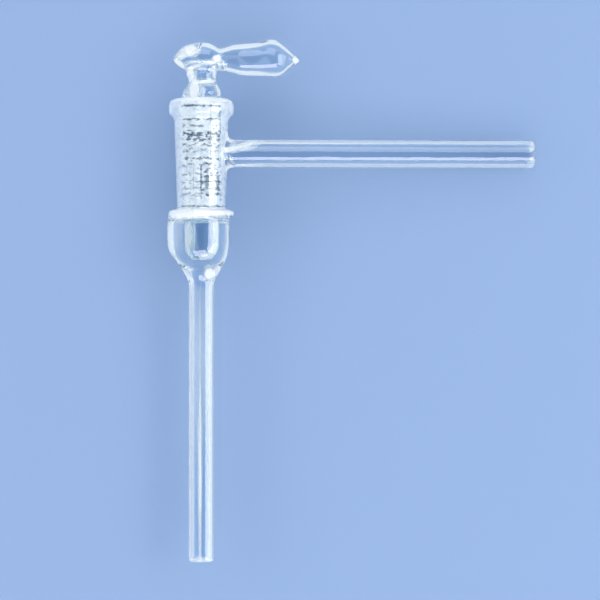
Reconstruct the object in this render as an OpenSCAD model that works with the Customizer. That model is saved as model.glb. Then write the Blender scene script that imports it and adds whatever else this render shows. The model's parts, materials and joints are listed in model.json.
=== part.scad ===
// Right-angle vacuum stopcock of blown glass. The barrel, its rim, the side tube, the bulb and
// the lower tube are fused into one piece. A hollow ground plug turns in the barrel by its key
// and opens or shuts the way between the side tube and the lower tube.
//
// Both pieces are drawn upright, with the barrel's axis along Z, the side tube along X and the
// two axes crossing at the origin. They are then laid down as the part lies on a table: the
// barrel's axis goes along Y, and the rim, the shoulder over the bulb and the end of the side
// tube touch Z = 0.

/* [Barrel] */
// Radius of the barrel's outside at the height of the side tube
barrel_r = 10.4; // [10.2:0.1:11]
// Change of the barrel's outside radius for each millimetre of height
barrel_slope = 0.033; // [0.02:0.001:0.045]
// Radius of the rim and of the shoulder over the bulb, which carry the part on a table
rim_r = 13; // [12.8:0.1:14]
// Height of the rim's top face above the side tube's axis
rim_top = 21.8; // [21.5:0.1:22.5]
// Height of the rim's bead
rim_height = 7.6; // [6:0.1:9]

/* [Ground joint] */
// Diameter of the ground socket at the height of the side tube
socket_d = 16.4; // [15.8:0.1:16.6]
// Taper of the ground joint: change of diameter for each millimetre of height
socket_taper = 0.1; // [0.08:0.005:0.1]
// Radial gap between the plug and the socket
joint_gap = 0.03; // [0.02:0.01:0.08]
// Radius of the drilled way through the barrel's wall and the plug's wall
port_r = 2; // [1.6:0.1:2.6]

/* [Side tube] */
// Outside radius of the side tube
side_r = 5.5; // [5.2:0.1:6]
// Wall of the side tube
side_wall = 1.5; // [1.1:0.1:1.8]
// Reach of the side tube from the barrel's axis
side_reach = 133.8; // [90:0.1:150]

/* [Bulb and lower tube] */
// Depth of the bulb's flat shoulder below the side tube's axis
shoulder_depth = 21.9; // [21:0.1:23]
// Thickness of the fused shoulder between the socket's end and the bulb
shoulder_wall = 3.4; // [2.5:0.1:4]
// Outside radius of the bulb
bulb_r = 12.4; // [12:0.1:12.6]
// Wall of the bulb
bulb_wall = 1.9; // [1.5:0.1:2.1]
// How far the blown bulb leans out, away from the side tube
bulb_lean = 1.2; // [0:0.1:1.4]
// How far the bulb's hollow leans out
bulb_hollow_lean = 0.8; // [0:0.1:1]
// Outside radius of the lower tube
lower_r = 5; // [4.6:0.1:5.4]
// Wall of the lower tube
lower_wall = 2; // [1.4:0.1:2.2]
// Depth of the lower tube's end below the side tube's axis
lower_depth = 163.2; // [110:0.1:180]

/* [Plug] */
// Wall of the hollow plug
plug_wall = 2.4; // [1.8:0.1:2.6]
// Depth of the plug's round end below the side tube's axis, as if it had no hole
plug_depth = 42.7; // [41:0.1:43.4]
// Radius of the hole in the plug's round end
plug_mouth_r = 3; // [2.9:0.1:3.4]
// How far the domed top of the plug's hollow leans towards the key's long lobe
dome_lean = 1.8; // [0:0.1:2]
// Radius of the waist between the plug and its key
waist_r = 5.4; // [5.2:0.1:5.6]
// Half width of the bubble that is closed into the neck
bubble_r = 4.4; // [3.6:0.1:4.4]
// How far the bubble leans towards the key's long lobe
bubble_lean = 0.5; // [0:0.1:0.6]

/* [Key] */
// Height of the key's middle line above the side tube's axis
key_height = 37.8; // [37.4:0.1:38.6]
// Wall of the hollow key
key_wall = 1.7; // [1.3:0.1:1.9]
// Thickness of the key from front to back, as a share of its height
key_depth_share = 0.94; // [0.8:0.01:1]
// How much thicker the short lobe's wall is along its top
key_thick_top = 2.6; // [0:0.1:2.8]

/* [Hidden] */

clear_glass = [0.82, 0.9, 0.97, 0.45];
ground_glass = [0.92, 0.95, 0.98, 0.75];
round_sides = 96;
lip = 0.45; // rounding that fire polish gives to a tube's edges
past = 0.2; // how far a hollow runs past the end that it opens

// Outline pieces.
// Points along an arc of radii rx and ry from angle a to angle b, in n steps.
function arc(middle, rx, ry, a, b, n) =
    [for (i = [0:n]) let (t = a + (b - a) * i / n) middle + [rx * cos(t), ry * sin(t)]];

// A share that rises smoothly from 0 at start to 1 at end.
function eased(value, start, end) =
    let (share = min(max((value - start) / (end - start), 0), 1)) share * share * (3 - 2 * share);

// Barrel: heights and radii measured from the side tube's axis.
rim_bead = 3;
rim_under = rim_top - rim_height;
shoulder = -shoulder_depth;
socket_end = shoulder - shoulder_wall;
socket_bevel = 0.5;
function outside_r(z) = barrel_r + z * barrel_slope;
function socket_r(z) = (socket_d + z * socket_taper) / 2;

// Bulb: an upright wall and a round bottom, leaning out over a neck that stays in line with
// the lower tube. Outlines of [height, radius] points.
bulb_hollow_r = bulb_r - bulb_wall;
bulb_outline = [
    [-23.4, 0], [-23.6, bulb_r - 1], [-24.4, bulb_r - 0.55], [-25.3, bulb_r - 0.4],
    [-26.5, bulb_r - 0.1], [-28.1, bulb_r], [-33.5, bulb_r], [-36.5, bulb_r - 0.1],
    [-38.8, bulb_r - 0.55], [-41, bulb_r - 1.75], [-43, bulb_r - 3.35], [-45, bulb_r - 5],
    [-46.6, 5], [-47.4, 0]
];
bulb_hollow_outline = [
    [socket_end, 0], [socket_end, bulb_hollow_r - 2.8], [socket_end - 0.35, bulb_hollow_r - 1.5],
    [socket_end - 1.2, bulb_hollow_r - 0.5], [-28.5, bulb_hollow_r], [-31.9, bulb_hollow_r],
    [-36.2, bulb_hollow_r - 0.15], [-39.8, bulb_hollow_r - 0.85], [-42.9, bulb_hollow_r - 2.8],
    [-44.6, 5.6], [-45.6, 3], [-45.9, 0]
];
neck_outline = [
    [-37, 0], [-37.5, 10.8], [-38.8, 10.7], [-41, 10.3], [-43, 9.55], [-45, 8.65],
    [-46.8, 7.55], [-48.6, 6.45], [-50.4, lower_r + 0.6], [-52.2, lower_r + 0.15],
    [-54.4, lower_r]
];
lower_bore_r = lower_r - lower_wall;
neck_hollow_outline = [
    [-37.6, 0], [-38.2, 9], [-39.8, 9.1], [-42.9, 8.05], [-45.2, 6.5], [-47, 4.7],
    [-49.3, lower_bore_r + 0.45], [-52.9, lower_bore_r]
];

// Side tube: a fused fillet at the barrel, and a bore that widens from the drilled way. It
// widens sooner on the bulb's side, by a second funnel that lies a little lower.
side_bore_r = side_r - side_wall;
fillet_r = 2.6;
fillet_end = outside_r(0) + 3;
funnel_start = outside_r(0) + 0.3;
funnel_end = 23;
low_funnel_drop = 0.7;
low_funnel_r = side_bore_r - low_funnel_drop - 0.03;

// Plug: a ground cone, a shoulder and a waist above it, and a round open end below it.
plug_top = rim_top - 0.8;
neck_top = 35;
end_r = socket_r(socket_end) - joint_gap - 0.05;
end_height = end_r - plug_depth;
mouth_lip = 0.55; // rounding of the hole's edge
mouth_angle = acos((plug_mouth_r + mouth_lip) / end_r);
mouth_middle = [plug_mouth_r + mouth_lip, end_height - end_r * sin(mouth_angle) + mouth_lip];
shoulder_outline = [
    [neck_top, 6.1], [31.6, 6], [30.2, waist_r + 0.2], [29, waist_r], [27.9, waist_r + 0.35],
    [26.7, 6.5], [25, 7.3], [23.2, 7.8], [22, 8.2]
];
// The plug's hollow is as wide as the cone up to a height, and then draws in to a dome.
hollow_end_r = end_r - plug_wall;
hollow_end_height = end_height - 0.7;
hollow_end_depth = hollow_end_r + 0.45;
hollow_mouth_angle = acos((plug_mouth_r + mouth_lip) / hollow_end_r);
full_until = 14;
hollow_top_outline = [[20.4, 0], [19.6, 1.9], [18.2, 3.4], [16.2, 5.4]];
dome_outline = [
    [27.2, 0], [27.1, 1.6], [26.7, 2.7], [25.7, 3.4], [24.2, 3.65], [22.2, 3.75], [20.2, 4],
    [18.2, 4.4], [16.2, 4.6], [12.6, 4.4], [12, 0]
];
bubble_outline = [
    [33.75, 0], [33.7, 0.68], [33.45, 0.89], [32.8, 0.98], [31.4, 1], [30, 0.98],
    [29.25, 0.86], [29, 0.64], [28.95, 0]
];

// Key: a short lobe over the plug and a long one that is drawn out to a point. Each station
// gives its reach along X, its middle above key_height and its half height.
key_sides = 24;
key_stations = [
    [-11.1, 0.0, 0.3], [-10.4, -0.2, 1.9], [-8.4, 0.1, 3.7], [-5.6, 0.5, 5.0],
    [-1.0, 0.9, 5.7], [2.6, 0.8, 5.6], [5.0, 0.2, 5.2], [7.2, -0.3, 4.5], [9.4, -0.1, 4.7],
    [12.4, 0.1, 5.5], [16.0, -0.2, 6.2], [23.0, 0.0, 6.7], [27.4, 0.4, 7.4], [30.2, 0.2, 7.2],
    [32.4, -0.1, 5.9], [34.8, -0.1, 3.9], [36.2, -0.2, 2.8], [37.4, -0.3, 2.0],
    [39.3, -0.5, 0.3]
];
// The hollow leaves out the stations of the two tips, which are solid glass.
hollow_least_height = 2.5;
hollow_stations = [for (s = key_stations) if (s[2] > hollow_least_height) s];
// The wall under the key is thicker over the neck, and most where the long lobe begins.
neck_floor = 1.1;
lobe_floor = 2.6;
lobe_start = 6.6;
least_half = 0.4;
function thicker(reach, up) =
    up ? key_thick_top * eased(reach, 0.2, -2.6)
       : neck_floor * eased(abs(reach - 0.5), 8.5, 5)
         + lobe_floor * eased(abs(reach - lobe_start), 3.4, 0.8);

// Lying down: the tilt that brings the end of the side tube down to the table, and the middle
// of the part's box seen from above. The bulb leans out past the rim.
lip_reach = side_reach - lip;
lip_r = side_r - lip;
tilt = asin((rim_r - lip) / norm([lip_reach, lip_r])) - atan2(lip_r, lip_reach);
key_top = max([for (s = key_stations) key_height + s[1] + s[2]]);
part_right = lip_reach * cos(tilt) + lip_r * sin(tilt) + lip;
part_left = max(rim_r, bulb_r + bulb_lean * cos(tilt));
part_middle = [(part_right - part_left) / 2, (key_top - lower_depth) / 2];

module laid_down() {
    translate([-part_middle.x, -part_middle.y, rim_r])
        rotate([0, tilt, 0])
            rotate([-90, 0, 0])
                children();
}

// A shape turned about the barrel's axis, from an outline of [radius, height] points.
module turned(outline) {
    rotate_extrude($fn = round_sides) polygon(outline);
}

// The same for a blown shape that leans out along X.
module turned_leaning(outline, lean) {
    translate([lean, 0, 0]) turned(outline);
}

// A shape turned about the side tube's axis, from an outline of [reach, radius] points.
module turned_sideways(outline) {
    rotate([0, 90, 0])
        rotate_extrude($fn = round_sides) polygon([for (p = outline) [p.y, p.x]]);
}

// An outline of [height, radius] points as [radius, height] points.
function upright(outline) = [for (p = outline) [p[1], p[0]]];

// ---- Barrel, bulb and tubes ----

// The barrel with its rim and its shoulder.
module barrel_skin() {
    turned(concat(
        [[0, rim_top]],
        arc([rim_r - rim_bead, rim_top - rim_bead], rim_bead, rim_bead, 90, 0, 8),
        upright([
            [rim_top - rim_bead - 2, rim_r], [rim_under + 1.6, rim_r - 0.7],
            [rim_under + 0.2, outside_r(rim_under) + 0.3],
            [rim_under - 0.8, outside_r(rim_under - 0.8)],
            [shoulder + 1, outside_r(shoulder + 1)], [shoulder, outside_r(shoulder) + 0.5],
            [shoulder - 0.6, rim_r - 1.8], [shoulder - 1, rim_r - 0.7],
            [shoulder - 1.7, rim_r - 0.05], [shoulder - 2.5, rim_r],
            [socket_end, rim_r - 0.7], [socket_end - 1.2, bulb_r - bulb_lean + 0.3],
            [socket_end - 2.8, bulb_r - bulb_lean - 0.1], [socket_end - 2.8, 0]
        ])
    ));
}

module bulb_skin() {
    turned_leaning(upright(bulb_outline), -bulb_lean);
    turned(concat(
        upright(neck_outline),
        arc([lower_r - lip, lip - lower_depth], lip, lip, 0, -90, 4),
        [[0, -lower_depth]]
    ));
}

module ground_socket() {
    turned(upright([
        [rim_top + 1, 0], [rim_top + 1, socket_r(rim_top) + socket_bevel + 1],
        [rim_top, socket_r(rim_top) + socket_bevel],
        [rim_top - socket_bevel, socket_r(rim_top - socket_bevel)],
        [socket_end, socket_r(socket_end)], [socket_end - 2, socket_r(socket_end)],
        [socket_end - 2, 0]
    ]));
}

// The inside of the bulb and the bore of the lower tube.
module bulb_hollow() {
    turned_leaning(upright(bulb_hollow_outline), -bulb_hollow_lean);
    turned(concat(
        upright(neck_hollow_outline),
        arc([lower_bore_r + lip, lip - lower_depth], lip, lip, 180, 225, 3),
        upright([[-lower_depth - past, lower_bore_r + lip], [-lower_depth - past, 0]])
    ));
}

module side_tube_skin() {
    turned_sideways(concat(
        [[0, 0], [0, side_r + 1.9], [fillet_end - fillet_r - 0.4, side_r + 1.9]],
        arc([fillet_end, side_r + fillet_r], fillet_r, fillet_r, 196, 270, 6),
        arc([side_reach - lip, side_r - lip], lip, lip, 90, 0, 4),
        [[side_reach, 0]]
    ));
}

// The drilled way through the barrel's wall and the bore of the side tube.
module side_tube_hollow() {
    turned_sideways(concat(
        [
            [0, 0], [0, port_r], [funnel_start, port_r], [funnel_start + 1.8, port_r + 0.15],
            [funnel_start + 3.5, port_r + 0.4], [funnel_start + 5.9, port_r + 0.9],
            [funnel_start + 9.1, port_r + 1.55], [funnel_end, side_bore_r]
        ],
        arc([side_reach - lip, side_bore_r + lip], lip, lip, -90, -45, 3),
        [[side_reach + past, side_bore_r + lip], [side_reach + past, 0]]
    ));
    translate([0, 0, -low_funnel_drop])
        turned_sideways([
            [funnel_start, 0], [funnel_start, low_funnel_r - 2],
            [funnel_start + 0.6, low_funnel_r - 1.4], [funnel_start + 1.8, low_funnel_r - 0.5],
            [funnel_start + 3.5, low_funnel_r - 0.1], [funnel_start + 5.9, low_funnel_r],
            [funnel_end + 1, low_funnel_r], [funnel_end + 1, 0]
        ]);
}

module barrel() {
    color(ground_glass)
        laid_down()
            difference() {
                union() {
                    barrel_skin();
                    bulb_skin();
                    side_tube_skin();
                }
                ground_socket();
                bulb_hollow();
                side_tube_hollow();
            }
}

// ---- Plug and key ----

module plug_skin() {
    turned(concat(
        [[0, neck_top]],
        upright(shoulder_outline),
        upright([
            [plug_top, socket_r(plug_top) - joint_gap],
            [socket_end, socket_r(socket_end) - joint_gap], [socket_end - 0.6, end_r]
        ]),
        arc([0, end_height], end_r, end_r, 0, -mouth_angle, 10),
        [[0, end_height - end_r * sin(mouth_angle)]]
    ));
}

// The plug's hollow, from the hole in its round end up to its domed top.
module plug_hollow() {
    turned(concat(
        upright(hollow_top_outline),
        [[socket_r(full_until) - joint_gap - plug_wall, full_until]],
        arc([0, hollow_end_height], hollow_end_r, hollow_end_depth, 0, -hollow_mouth_angle, 8),
        arc(mouth_middle, mouth_lip, mouth_lip, 180, 255, 4),
        upright([[-plug_depth - past, plug_mouth_r + 0.4], [-plug_depth - past, 0]])
    ));
    turned_leaning(upright(dome_outline), dome_lean);
}

// The bubble in the neck, closed off from the key's hollow and from the plug's hollow.
module neck_bubble() {
    turned_leaning([for (p = bubble_outline) [bubble_r * p[1], p[0]]], bubble_lean);
}

// One ring of the key's skin at station s. A hollow's ring is drawn in by the wall, and more
// where the wall is thicker.
function key_ring(s, wall) =
    [for (i = [0:key_sides - 1])
        let (
            t = 360 * i / key_sides,
            inset = wall > 0 ? wall + thicker(s[0], sin(t) > 0) : 0
        )
        [s[0], max(s[2] * key_depth_share - wall, least_half) * cos(t),
         key_height + s[1] + max(s[2] - inset, min(s[2], least_half)) * sin(t)]];

// A closed skin through the rings of a list of stations.
module key_skin(stations, wall) {
    n = key_sides;
    last = len(stations) - 1;
    polyhedron(
        points = [for (s = stations) each key_ring(s, wall)],
        faces = concat(
            [[for (i = [0:n - 1]) i]],
            [for (k = [0:last - 1], i = [0:n - 1])
                let (a = k * n + i, b = k * n + (i + 1) % n)
                each [[a, a + n, b + n], [a, b + n, b]]],
            [[for (i = [n - 1:-1:0]) last * n + i]]
        )
    );
}

// The drilled way through the plug's wall. It faces the side tube when the key points over it.
module plug_port() {
    rotate([0, 90, 0]) cylinder(r = port_r, h = socket_d, $fn = round_sides);
}

module plug() {
    color(clear_glass)
        laid_down()
            difference() {
                union() {
                    plug_skin();
                    key_skin(key_stations, 0);
                }
                plug_hollow();
                neck_bubble();
                key_skin(hollow_stations, key_wall);
                plug_port();
            }
}

barrel();
plug();
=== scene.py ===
"""Right-angle vacuum stopcock of blown borosilicate glass, lying on a plain pale surface.

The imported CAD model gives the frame: where the two glass pieces are, and the joint that turns
the plug. This script models both pieces again as smooth closed glass, with their walls,
hollows, fused seams and ground faces, and lights them softly from the sides.
"""

import json
import logging
import math
from collections.abc import Callable, Sequence
from dataclasses import dataclass, field
from enum import Enum

import bmesh
import bpy
from mathutils import Matrix, Vector, noise


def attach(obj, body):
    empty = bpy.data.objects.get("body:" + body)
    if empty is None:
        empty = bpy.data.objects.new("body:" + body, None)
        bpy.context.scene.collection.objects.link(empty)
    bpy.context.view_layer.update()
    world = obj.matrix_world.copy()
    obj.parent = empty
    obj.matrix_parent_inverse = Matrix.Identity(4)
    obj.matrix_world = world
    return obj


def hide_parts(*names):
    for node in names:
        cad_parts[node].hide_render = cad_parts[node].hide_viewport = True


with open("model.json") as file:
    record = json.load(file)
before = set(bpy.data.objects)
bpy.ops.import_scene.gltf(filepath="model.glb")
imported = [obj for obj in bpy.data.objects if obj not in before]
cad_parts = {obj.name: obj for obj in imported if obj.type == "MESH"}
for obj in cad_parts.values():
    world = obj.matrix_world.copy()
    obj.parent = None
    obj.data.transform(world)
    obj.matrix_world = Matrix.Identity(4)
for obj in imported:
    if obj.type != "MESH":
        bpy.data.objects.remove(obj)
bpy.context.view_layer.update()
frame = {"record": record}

log = logging.getLogger("stopcock")

MM = 0.001
SIDES = 96  # vertices around every turned shape and around every tube
PATCH = SIDES // 4  # faces along each side of the square that a branch grows from
LIP = 1.2  # how far back a tube's fire-polished end is rounded, in millimetres
WIDE = 1000.0  # a half size in millimetres that is past everything

Point = tuple[float, float]
Triple = tuple[float, float, float]
Colour = tuple[float, float, float, float]
Loop = list[bmesh.types.BMEdge]
Placer = Callable[[float], Vector]  # gives a ring's point from its angle in degrees
Settler = Callable[[Vector], Vector]  # puts a point back on a surface


# -------------------- Places --------------------


@dataclass(frozen=True)
class Layout:
    """Where the part lies: the plug's joint and the two tubes' directions, from the record."""

    crossing: Vector
    barrel_axis: Vector
    side_axis: Vector

    @classmethod
    def from_record(cls, record: dict) -> "Layout":
        """Read the two axes and their crossing.

        Args:
            record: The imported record.

        Returns:
            The layout in the row's frame, in metres.
        """
        joint = record["behaviour"]["joints"][0]
        ways = {mount["name"]: Vector(mount["axis"]).normalized() for mount in record["mounts"]}
        return cls(Vector(joint["pos_m"]), -ways["lower_tube"], ways["side_tube"])

    def upright_to_row(self) -> Matrix:
        """Give the matrix from upright millimetres to the row's frame.

        Returns:
            The matrix, which takes X to the side tube's axis and Z to the barrel's.
        """
        across = self.barrel_axis.cross(self.side_axis)
        turn = Matrix((self.side_axis, across, self.barrel_axis)).transposed().to_4x4()
        return Matrix.Translation(self.crossing) @ turn @ Matrix.Scale(MM, 4)


# -------------------- Outlines --------------------


def flowing(points: Sequence[Sequence[float]], steps: int) -> list[tuple[float, ...]]:
    """Run a smooth curve through given points.

    Args:
        points: Points of any dimension, in order.
        steps: Stretches that each gap between two points is cut into.

    Returns:
        Points along the curve, both ends included.
    """
    first, last = (
        tuple(2 * a - b for a, b in zip(*pair)) for pair in (points[:2], points[:-3:-1])
    )
    run = [first, *points, last]
    out = []
    for stretch in zip(run, run[1:], run[2:], run[3:]):
        for t in (k / steps for k in range(steps)):
            out.append(
                tuple(
                    0.5
                    * (
                        2 * b
                        + (c - a) * t
                        + (2 * a - 5 * b + 4 * c - d) * t * t
                        + (3 * b - a - 3 * c + d) * t * t * t
                    )
                    for a, b, c, d in zip(*stretch)
                )
            )
    return [*out, tuple(points[-1])]


def straight(start: Point, end: Point, steps: int) -> list[Point]:
    """Cut a straight stretch into equal steps, both ends included."""
    (a, b), (c, d) = start, end
    return [(a + (c - a) * k / steps, b + (d - b) * k / steps) for k in range(steps + 1)]


def joined(*runs: Sequence[Point]) -> list[Point]:
    """Join stretches of an outline, with shared ends kept once.

    Args:
        runs: Stretches in order.

    Returns:
        One list of points.
    """
    out: list[Point] = []
    for p in (p for run in runs for p in run):
        if not out or math.dist(p, out[-1]) > 1e-6:
            out.append(tuple(p))
    return out


def along(radius_at: Callable[[float], float], *stops: tuple[float, int]) -> list[Point]:
    """Follow a turned wall from height to height.

    Args:
        radius_at: Gives the wall's radius at a height.
        stops: Heights, each with the number of steps that lead to it.

    Returns:
        Points of (radius, height).
    """
    ends = [(radius_at(z), z) for z, _ in stops]
    return joined(*(straight(a, b, stop[1]) for a, b, stop in zip(ends, ends[1:], stops[1:])))


def below(top: float, *pairs: Point) -> list[Point]:
    """Turn pairs of (radius, depth under a height) into points of (radius, height)."""
    return [(radius, top - depth) for radius, depth in pairs]


def round_end(across: float, deep: float, middle: float, until: float, steps: int) -> list[Point]:
    """Draw a round end that closes downwards.

    Args:
        across: Its radius.
        deep: Its depth, if it were closed.
        middle: Height at which it begins.
        until: Radius of the hole that it stops at.
        steps: Number of steps.

    Returns:
        Points of (radius, height) from the widest one down.
    """
    last = math.acos(until / across)
    turns = [last * k / steps for k in range(steps + 1)]
    return [(across * math.cos(t), middle - deep * math.sin(t)) for t in turns]


def fire_polished(outer: float, bore: float, end: float, back: int) -> list[Point]:
    """Round a tube's cut end from its outside to its bore.

    Args:
        outer: The tube's radius.
        bore: Its bore's radius.
        end: Where it ends.
        back: The way back into the tube, 1 or -1.

    Returns:
        Points of (radius, place along the tube).
    """
    start, turn, eased_by = end + back * LIP, end + back * 0.45, 0.12
    shape = [
        (outer, start),
        (outer - eased_by, turn),
        ((outer + bore) / 2, end),
        (bore + eased_by, turn),
        (bore, start),
    ]
    return flowing(shape, 5)


# -------------------- Glass shells --------------------


class Face(Enum):
    """What a stretch of glass surface is, and so which finish it takes."""

    BLOWN = 0
    DRAWN = 1
    GROUND = 2


def as_mesh(bm: bmesh.types.BMesh, name: str) -> bpy.types.Mesh:
    """Make a mesh from a bmesh, which is used up.

    Args:
        bm: The bmesh.
        name: The mesh's name.

    Returns:
        The mesh.
    """
    mesh = bpy.data.meshes.new(name)
    bm.to_mesh(mesh)
    bm.free()
    return mesh


def placed(name: str, data: bpy.types.ID) -> bpy.types.Object:
    """Put a new object with this data in the scene, at the origin.

    Args:
        name: The object's name.
        data: Its mesh, lamp or camera.

    Returns:
        The object.
    """
    obj = bpy.data.objects.new(name, data)
    bpy.context.scene.collection.objects.link(obj)
    return obj


def square_turn(across: float, up: float) -> float:
    """Give the angle of a point on a square's edge, with its vertices evenly spaced.

    Args:
        across: Share of the half width, from -1 to 1.
        up: Share of the half height, from -1 to 1.

    Returns:
        The angle in degrees, from the width's positive end towards the height's.
    """
    eighth, step = 45.0, 360 / SIDES
    if abs(across) >= abs(up):
        angle = up * eighth if across > 0 else 180 - up * eighth
    else:
        angle = 90 - across * eighth if up > 0 else -90 + across * eighth
    return round(angle / step) * step % 360


class Shell:
    """A glass surface under construction, in upright millimetres."""

    def __init__(self) -> None:
        """Start with nothing."""
        self.bm = bmesh.new()
        self.turn = self.bm.verts.layers.float.new("turn")

    def spin(self, outline: Sequence[Point], closed: bool) -> None:
        """Turn an outline about the upright axis.

        Args:
            outline: Points of (radius, height).
            closed: Whether the last point joins the first.
        """
        verts = [self.bm.verts.new((r, 0.0, z)) for r, z in outline]
        edges = [self.bm.edges.new(pair) for pair in zip(verts, verts[1:] + verts[:closed])]
        bmesh.ops.spin(
            self.bm,
            geom=verts + edges,
            cent=(0, 0, 0),
            axis=(0, 0, 1),
            angle=math.tau,
            steps=SIDES,
            use_merge=True,
        )
        self.weld()

    def weld(self) -> None:
        """Merge the vertices that share a place, such as those at a pole."""
        bmesh.ops.remove_doubles(self.bm, verts=self.bm.verts[:], dist=1e-4)

    def open_patch(
        self, belongs: Callable[[Vector], bool], turn_of: Callable[[Vector], float]
    ) -> Loop:
        """Take a square of faces out, so that a branch can grow from its edge.

        Args:
            belongs: Says whether a face with this middle is in the square.
            turn_of: Gives the angle round the branch of a vertex on the square's edge.

        Returns:
            The edges round the hole.
        """
        inside = [f for f in self.bm.faces if belongs(f.calc_center_median())]
        kept = set(inside)
        rim = [e for e in {e for f in inside for e in f.edges} if set(e.link_faces) - kept]
        for v in {v for e in rim for v in e.verts}:
            v[self.turn] = turn_of(v.co)
        bmesh.ops.delete(self.bm, geom=inside, context="FACES")
        return rim

    def open_side(self, half: float, between: float, outer: bool) -> Loop:
        """Open a square that faces the side tube, an eighth of a turn wide each way.

        Args:
            half: Half its height.
            between: A radius inside the wall.
            outer: Whether the square is in the wall's outer face.

        Returns:
            The edges round the hole.
        """
        share = lambda p: math.atan2(p.y, p.x) / math.radians(45)
        return self.open_patch(
            lambda p: abs(share(p)) < 1
            and abs(p.z) < half
            and (math.hypot(p.x, p.y) > between) == outer,
            lambda p: square_turn(share(p), p.z / half),
        )

    def grow(self, rim: Loop, place: Placer) -> Loop:
        """Extrude an open edge loop by one ring.

        Args:
            rim: The loop's edges.
            place: Gives the new ring's points.

        Returns:
            The new loop's edges.
        """
        made = bmesh.ops.extrude_edge_only(self.bm, edges=rim)["geom"]
        verts = {g for g in made if isinstance(g, bmesh.types.BMVert)}
        for v in verts:
            v.co = place(v[self.turn])
        return [g for g in made if isinstance(g, bmesh.types.BMEdge) and set(g.verts) <= verts]

    def grow_between(self, rim: Loop, goal: Placer, steps: int, settle: Settler) -> Loop:
        """Extrude an open loop to a goal ring in even steps along a surface.

        Args:
            rim: The loop's edges.
            goal: Gives the last ring's points.
            steps: Number of rings, the goal's included.
            settle: Puts a point back on the surface.

        Returns:
            The last ring's edges.
        """
        start = {v[self.turn]: v.co.copy() for e in rim for v in e.verts}
        for share in (k / steps for k in range(1, steps + 1)):
            rim = self.grow(rim, lambda a, s=share: settle(start[a].lerp(goal(a), s)))
        return rim

    def grow_bent(self, rim: Loop, bend: tuple[Placer, Placer, Placer], tenths: int) -> Loop:
        """Extrude an open loop along a bend.

        Args:
            rim: The loop's edges.
            bend: Give the points where the bend starts, those it leans to, and where it ends.
            tenths: How many tenths of the bend are made.

        Returns:
            The last ring's edges.
        """
        start, crest, end = bend
        for t in (k / 10 for k in range(1, tenths + 1)):
            rim = self.grow(
                rim,
                lambda a, t=t: start(a) * (1 - t) ** 2 + crest(a) * 2 * t * (1 - t) + end(a) * t**2,
            )
        return rim

    def close(self, one: Loop, other: Loop) -> None:
        """Bridge two open loops."""
        bmesh.ops.bridge_loops(self.bm, edges=[*one, *other])

    def take_in(self, other: "Shell") -> None:
        """Add another shell, which is used up.

        Args:
            other: The shell to add.
        """
        carrier = as_mesh(other.bm, "carrier")
        self.bm.from_mesh(carrier)
        bpy.data.meshes.remove(carrier)

    def add_void(self, other: "Shell") -> None:
        """Add a closed hollow, with its faces turned to look into it.

        Args:
            other: The hollow's skin, which is used up.
        """
        bmesh.ops.recalc_face_normals(other.bm, faces=other.bm.faces[:])
        bmesh.ops.reverse_faces(other.bm, faces=other.bm.faces[:])
        self.take_in(other)

    def face_outwards(self) -> None:
        """Turn every face out of the glass."""
        self.weld()
        bmesh.ops.recalc_face_normals(self.bm, faces=self.bm.faces[:])

    def shift(self, move: Callable[[Vector, Vector], Vector]) -> None:
        """Move each vertex.

        Args:
            move: Gives the move in millimetres from a place and its normal.
        """
        self.bm.normal_update()
        moves = [(v, move(v.co, v.normal)) for v in self.bm.verts]
        for v, step in moves:
            v.co += step

    def ripple(self, amount: Callable[[Vector, Vector], float]) -> None:
        """Move each vertex along its normal, as glass wanders when it is worked hot."""
        self.shift(lambda p, normal: normal * amount(p, normal))

    def name_faces(self, kind_of: Callable[[Vector], Face]) -> None:
        """Give each face the finish that its middle's place has.

        Args:
            kind_of: Tells a place's finish.
        """
        for f in self.bm.faces:
            f.material_index = kind_of(f.calc_center_median()).value
            f.smooth = True

    def to_object(self, name: str, layout: Layout) -> bpy.types.Object:
        """Finish the shell as an object at the origin, with its place in its mesh."""
        bmesh.ops.transform(self.bm, matrix=layout.upright_to_row(), verts=self.bm.verts[:])
        return placed(name, as_mesh(self.bm, name))


def ring(reach: float, up: float, down: float | None = None) -> Placer:
    """Give a ring about the side tube's axis.

    Args:
        reach: Its distance from the barrel's axis.
        up: Its radius on the key's side.
        down: Its radius on the bulb's side, where that differs.

    Returns:
        A function that gives the ring's points.
    """
    low = up if down is None else down

    def place(angle: float) -> Vector:
        """Give the point at an angle in degrees."""
        c, n = math.cos(math.radians(angle)), math.sin(math.radians(angle))
        return Vector((reach, (up + low) / 2 * c, (up if n > 0 else low) * n))

    return place


def settled(radius_at: Callable[[float], float]) -> Settler:
    """Give a function that puts points back on a turned face, from its radius by height."""
    return lambda p: Vector((math.sqrt(max(radius_at(p.z) ** 2 - p.y**2, 1.0)), p.y, p.z))


def looks_in(p: Vector, normal: Vector) -> bool:
    """Say whether a face looks towards the upright axis."""
    return normal.x * p.x + normal.y * p.y < 0


def eased(value: float, start: float, end: float) -> float:
    """Rise smoothly from 0 to 1 between two values, in either direction."""
    share = min(max((value - start) / (end - start), 0.0), 1.0)
    return share * share * (3 - 2 * share)


def powered(value: float, power: float) -> float:
    """Raise a value to a power and keep its sign."""
    return math.copysign(abs(value) ** power, value)


def wander(place: Vector, scale: float, seed: float) -> float:
    """Give smooth noise between about -1 and 1, with features of this scale in millimetres."""
    return noise.noise(place / scale + Vector((seed, -seed, seed * 0.5)))


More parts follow.
